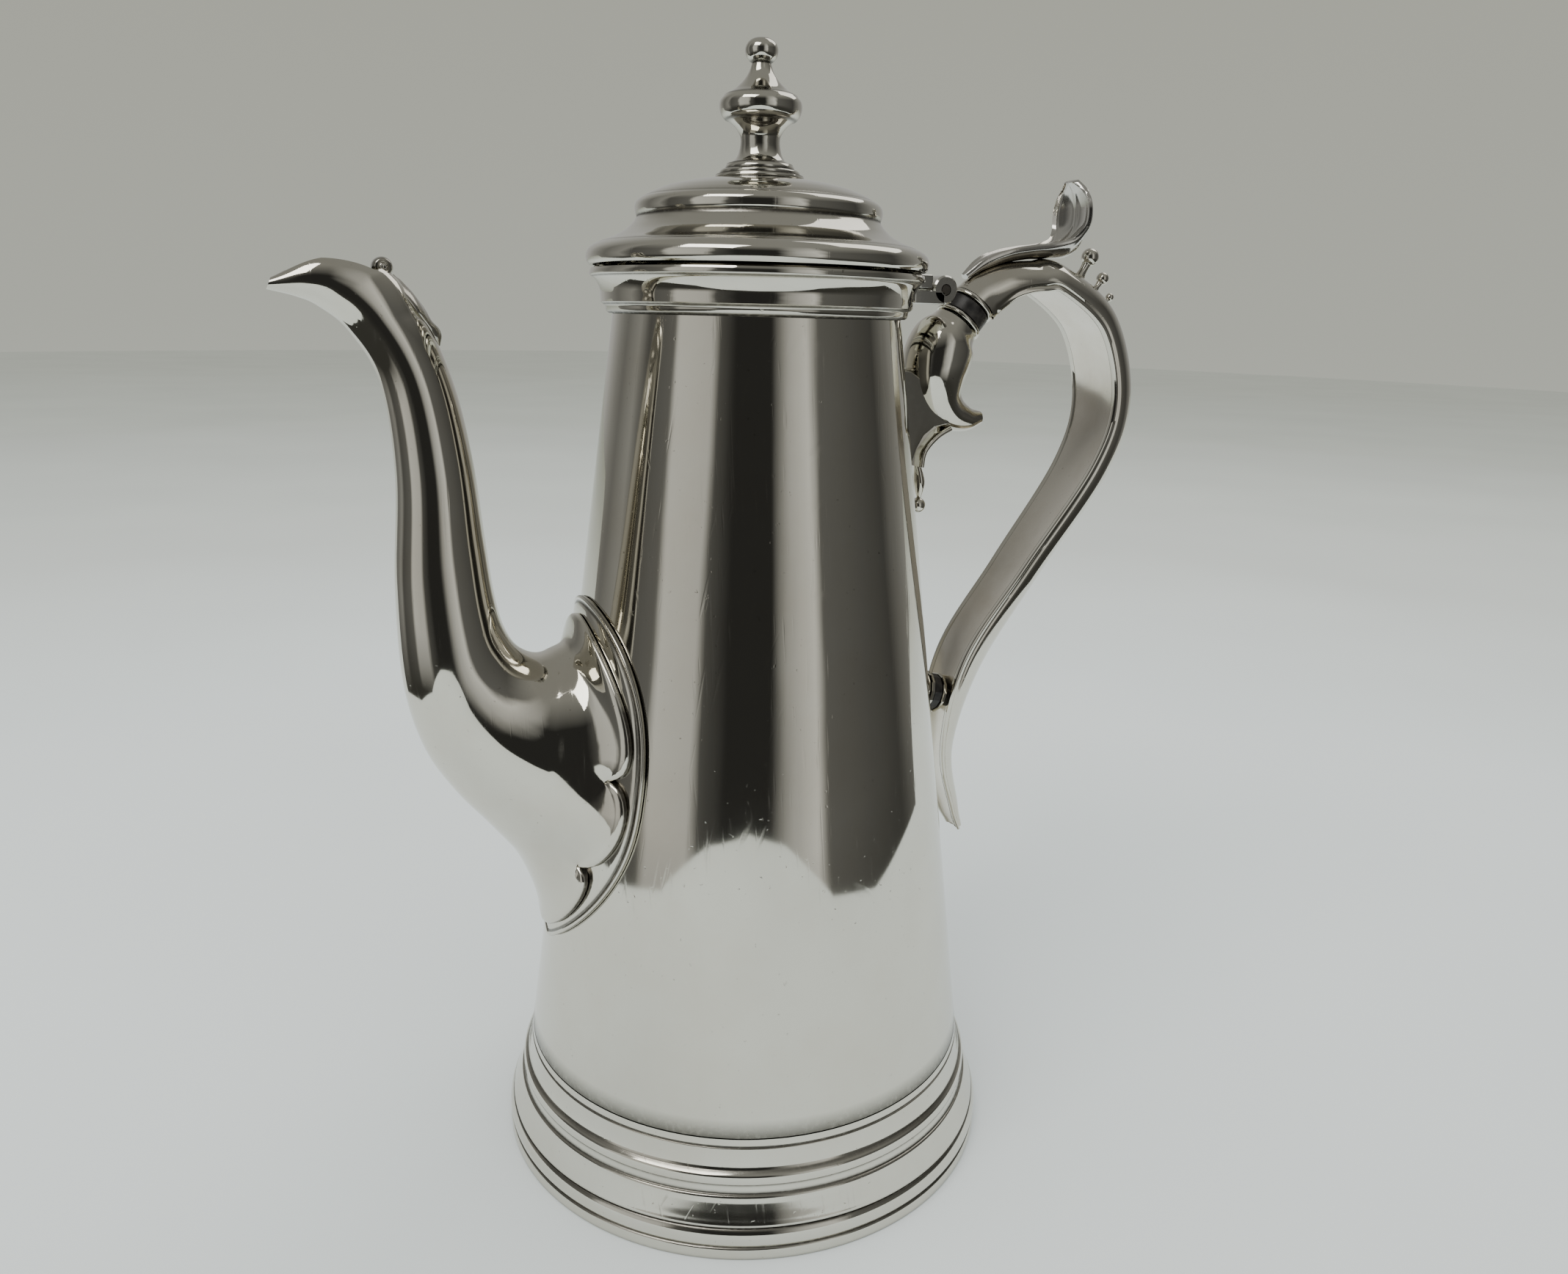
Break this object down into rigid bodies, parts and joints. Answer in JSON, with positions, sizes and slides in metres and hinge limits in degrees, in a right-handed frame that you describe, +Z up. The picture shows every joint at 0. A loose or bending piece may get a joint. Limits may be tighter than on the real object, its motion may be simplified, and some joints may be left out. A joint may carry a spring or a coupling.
{
  "type": "coffee pot",
  "caption": "Tall tapered metal coffee pot with a hinged domed lid, a swan-neck spout on a shield, a moulded foot and a scroll handle joined through dark insulators.",
  "frame": {"origin": "on the body's vertical axis, at the underside of the base disc, 1.2 mm above the plane the foot stands on, which is z = 0", "axes": "+Z up along the body's axis; the spout points along -X and the handle along +X; +Y completes the right-handed set and is the hinge line's direction"},
  "size_m": [0.1977, 0.1158, 0.2437],
  "materials": {
    "silver": "polished silver, lightly worn and tarnished",
    "dull_silver": "dull, oxidised silver",
    "insulator": "black heat insulator, satin"
  },
  "bodies": {
    "pot": {"base_disc": "dull_silver", "body_shell": "silver", "bracket_drop": "silver", "bracket_drop_bead": "silver", "bracket_strap": "silver", "foot_moulding": "silver", "handle_back": "silver", "handle_bead_1": "silver", "handle_bead_2": "silver", "handle_bead_3": "silver", "handle_bracket": "silver", "handle_inner_strip": "silver", "handle_lower_ring": "silver", "handle_top_pin": "dull_silver", "handle_top_ring": "silver", "hinge_body_leaf": "silver", "hinge_pin": "dull_silver", "lower_insulator": "insulator", "lower_socket": "silver", "lower_socket_pin": "dull_silver", "lower_socket_ring": "silver", "rim_collar": "silver", "spout": "silver", "spout_crest": "silver", "spout_crest_scroll": "silver", "spout_shield": "silver", "thumb_leaf": "silver", "upper_insulator": "insulator", "upper_socket": "silver", "upper_socket_pin": "dull_silver", "upper_socket_ring": "silver"},
    "lid": {"lid_shell": "silver", "lid_bezel": "silver", "finial": "silver", "finial_washer": "dull_silver", "finial_nut": "dull_silver", "hinge_lid_leaf": "silver"}
  },
  "joints": [
    {"name": "lid_hinge", "type": "hinge", "parent": "pot", "child": "lid", "pos_m": [0.042, 0, 0.1962], "axis": [0, 1, 0], "range_deg": [0, 110]}
  ]
}
